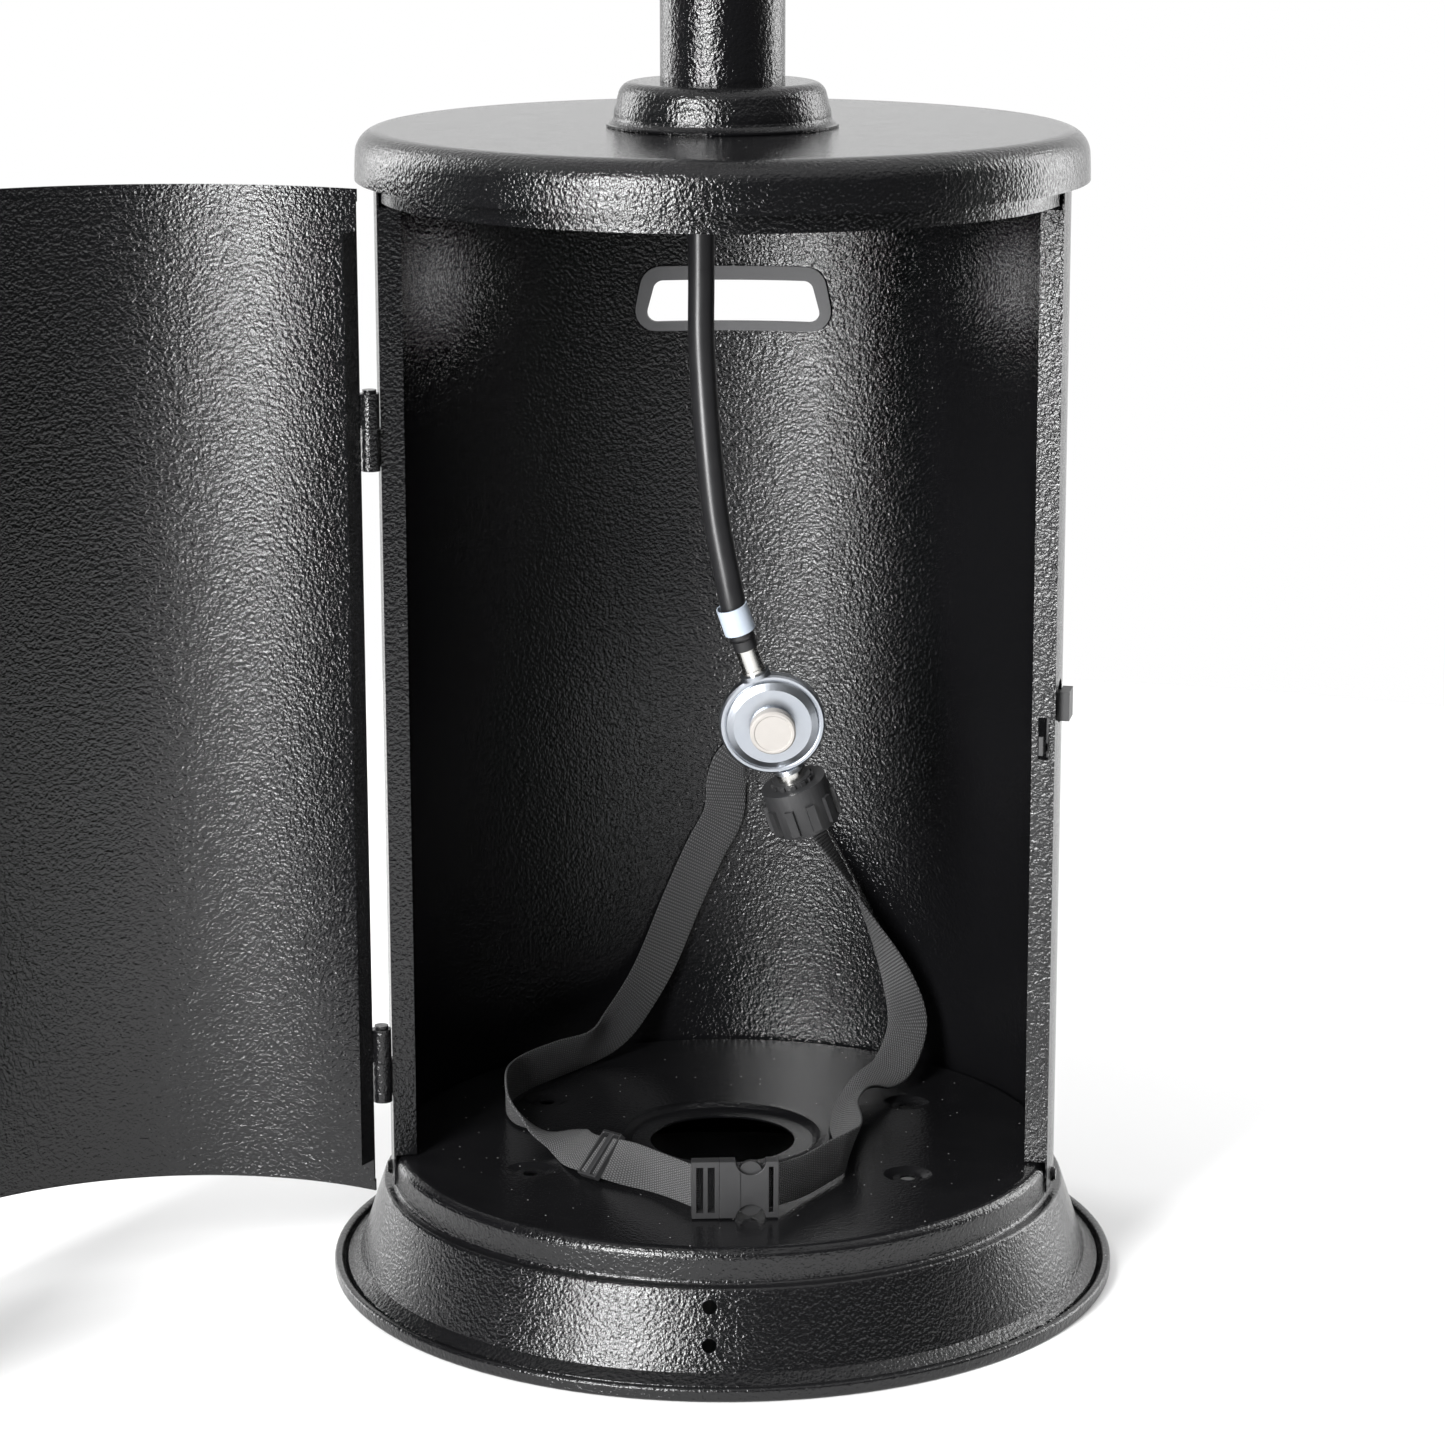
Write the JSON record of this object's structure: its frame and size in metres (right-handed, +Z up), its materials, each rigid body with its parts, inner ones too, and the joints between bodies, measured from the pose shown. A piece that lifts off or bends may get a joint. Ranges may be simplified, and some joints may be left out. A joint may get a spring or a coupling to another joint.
{
  "type": "outdoor heater",
  "caption": "Free-standing gas patio heater: cylindrical tank housing with a hinged door, round flared base, tall post, burner head and dished reflector.",
  "frame": {"origin": "floor level on the axis of the post and base", "axes": "+Z up along the post, -Y towards the door opening, -X towards the hinges"},
  "size_m": [0.8957, 0.812, 2.194],
  "materials": {
    "black_coat": "glossy black hammered powder coat",
    "trim_rubber": "matte grey edge trim",
    "zinc_steel": "zinc plated",
    "dark_plastic": "fine grained dark grey moulding",
    "webbing": "woven black webbing",
    "hose_rubber": "semi-gloss black",
    "label_film": "pale blue-white film",
    "nickel": "nickel plated",
    "regulator_zinc": "bright zinc passivated",
    "cap_plastic": "matte warm grey",
    "diaphragm_rubber": "matte",
    "brass": "turned",
    "red_plastic": "gloss red",
    "burner_steel": "stainless",
    "ceramic": "glazed white",
    "bright_aluminium": "bright rolled"
  },
  "bodies": {
    "stand": {"base_shell": "black_coat", "barrel": "black_coat", "barrel_screws": "black_coat", "hand_hole_trim": "trim_rubber", "top_ring": "black_coat", "ring_screws": "black_coat", "top_cover": "black_coat", "post_foot": "black_coat", "foot_bolts": "zinc_steel", "foot_nuts": "zinc_steel", "post_bell": "black_coat", "post": "black_coat", "barrel_hinge_halves": "black_coat", "hinge_pins": "zinc_steel", "latch_guide": "black_coat", "belt_bracket": "black_coat", "belt": "webbing", "belt_slider": "dark_plastic", "buckle_male": "dark_plastic", "buckle_female": "dark_plastic", "hose": "hose_rubber", "hose_nut": "brass", "hose_label": "label_film", "hose_crimp": "hose_rubber", "hose_ferrule": "nickel", "regulator_body": "regulator_zinc", "regulator_lid": "regulator_zinc", "regulator_cap": "cap_plastic", "regulator_diaphragm": "diaphragm_rubber", "regulator_spring": "zinc_steel", "inlet_stem": "brass", "housing_floor": "black_coat", "head_screws": "zinc_steel", "control_housing": "black_coat", "gas_valve": "brass", "igniter_body": "dark_plastic", "tilt_switch": "dark_plastic", "gas_orifice": "brass", "mixer_tube": "burner_steel", "burner_cup": "burner_steel", "pilot_tube": "burner_steel", "pilot_hood": "burner_steel", "pilot_bracket": "burner_steel", "thermocouple": "brass", "electrode": "ceramic", "emitter_screen": "burner_steel", "heat_cap": "burner_steel", "reflector_studs": "zinc_steel", "reflector": "bright_aluminium", "reflector_washers": "zinc_steel", "wing_nuts": "zinc_steel"},
    "door": {"door": "black_coat", "door_hinge_halves": "black_coat"},
    "latch": {"latch_slider": "dark_plastic"},
    "coupling": {"coupling_nut": "dark_plastic"},
    "valve_push": {"valve_plunger": "brass"},
    "knob": {"valve_stem": "brass", "control_knob": "dark_plastic"},
    "igniter": {"igniter_button": "red_plastic"}
  },
  "joints": [
    {"name": "door_swing", "type": "hinge", "parent": "stand", "child": "door", "pos_m": [-0.1953, -0.0502, 0.3], "axis": [0, 0, -1], "range_deg": [-133.3, 46.7]},
    {"name": "latch_lift", "type": "slide", "parent": "stand", "child": "latch", "axis": [0, 0, 1], "range_m": [0, 0.005]},
    {"name": "coupling_spin", "type": "hinge", "parent": "stand", "child": "coupling", "pos_m": [0.04502, 0.00684, 0.27638], "axis": [0.3043, 0.1736, -0.9366], "continuous": true},
    {"name": "knob_push", "type": "slide", "parent": "stand", "child": "valve_push", "axis": [0, 1, 0], "range_m": [0, 0.004], "stiffness_N_per_m": 800},
    {"name": "knob_turn", "type": "hinge", "parent": "valve_push", "child": "knob", "pos_m": [0, -0.084, 1.65], "axis": [0, -1, 0], "range_deg": [0, 200]},
    {"name": "igniter_push", "type": "slide", "parent": "stand", "child": "igniter", "axis": [-0.6691, 0.7431, 0], "range_m": [0, 0.004], "stiffness_N_per_m": 1500}
  ]
}
